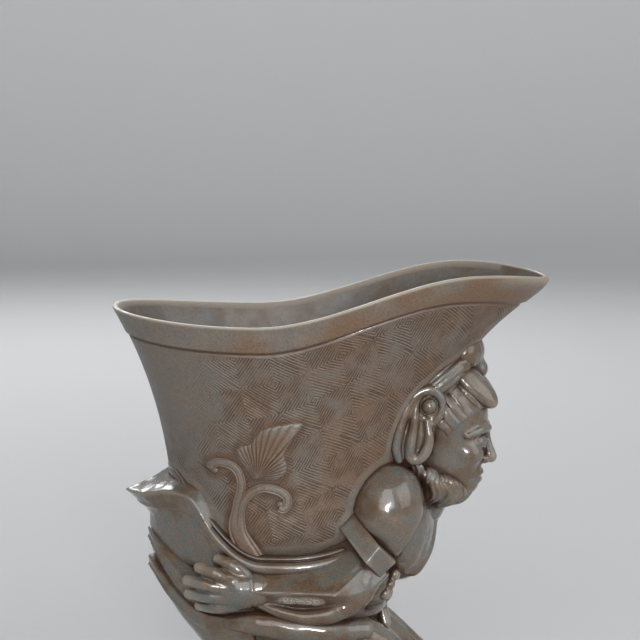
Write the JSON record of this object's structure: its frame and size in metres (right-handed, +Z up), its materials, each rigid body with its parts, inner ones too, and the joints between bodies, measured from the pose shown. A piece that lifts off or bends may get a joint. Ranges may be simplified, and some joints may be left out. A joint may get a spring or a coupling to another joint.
{
  "type": "figural wine cup",
  "caption": "Carved stone wine cup: a flared oval bowl with a pouring lip and engraved lattice, held on the back of a kneeling bearer above nested petals.",
  "frame": {"origin": "on the resting face, under the middle of the cup's length and width", "axes": "+Z up, +X towards the pouring lip, +Y to the bearer's left"},
  "size_m": [0.1214, 0.0632, 0.1336],
  "materials": {
    "engraved_stone": "satin ground stone, engraved and stained",
    "polished_stone": "polished stone"
  },
  "bodies": {
    "root": {"cup_bowl": "engraved_stone", "scroll_leaf_right": "engraved_stone", "scroll_leaf_left": "engraved_stone", "scroll_stem_right": "engraved_stone", "scroll_stem_left": "engraved_stone", "bowl_collar": "polished_stone", "head": "polished_stone", "ear_right": "polished_stone", "ear_left": "polished_stone", "hair_cap": "polished_stone", "hair_roll_right": "polished_stone", "hair_roll_left": "polished_stone", "topknot": "polished_stone", "beard": "polished_stone", "torso": "polished_stone", "waist_sash": "polished_stone", "shoulder_cape_right": "polished_stone", "shoulder_cape_left": "polished_stone", "arm_band_right": "polished_stone", "arm_band_left": "polished_stone", "sleeve_right": "polished_stone", "sleeve_left": "polished_stone", "hand_right": "polished_stone", "hand_left": "polished_stone", "petal_inner": "polished_stone", "petal_middle": "polished_stone", "petal_outer": "polished_stone", "robe_hem": "polished_stone", "robe_seat": "polished_stone", "thigh_right": "polished_stone", "thigh_left": "polished_stone", "shin_right": "polished_stone", "shin_left": "polished_stone", "foot_right": "polished_stone", "foot_left": "polished_stone"}
  },
  "joints": []
}
